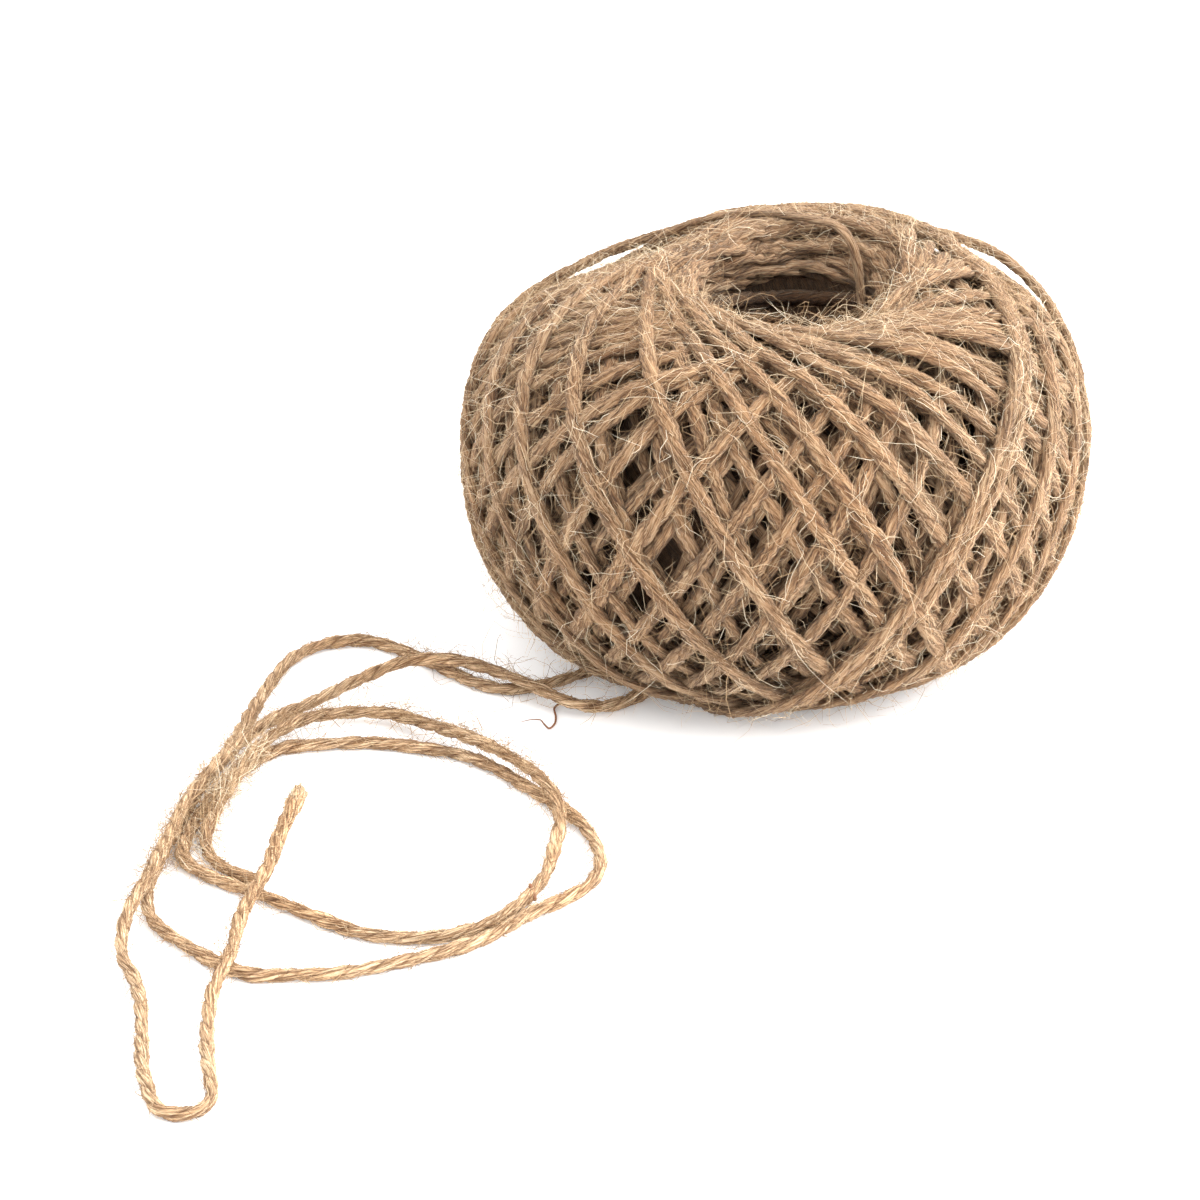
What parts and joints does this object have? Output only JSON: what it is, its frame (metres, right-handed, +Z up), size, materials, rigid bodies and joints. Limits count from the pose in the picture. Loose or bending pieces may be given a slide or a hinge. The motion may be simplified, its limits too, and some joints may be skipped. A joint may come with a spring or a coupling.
{
  "type": "ball of jute twine with loose ends",
  "caption": "Squat ball of natural jute twine, cross-wound around an open hole, with its loose ends lying in loops in front of it.",
  "frame": {"origin": "middle of the ball's footprint, on the surface it stands on", "axes": "+Z up along the ball's hole, -Y towards the loose ends' nearest bend, -X towards the side where the loose ends lie"},
  "size_m": [0.1331, 0.1797, 0.057],
  "materials": {
    "jute_winding": "dry, hairy bast fibre, matte, tan with darker gaps between the strands",
    "jute_twine": "dry, hairy bast fibre, matte, warm tan with straw highlights"
  },
  "bodies": {
    "root": {"wound_ball": "jute_winding", "tail_end": "jute_twine", "looped_end": "jute_twine"}
  },
  "joints": []
}
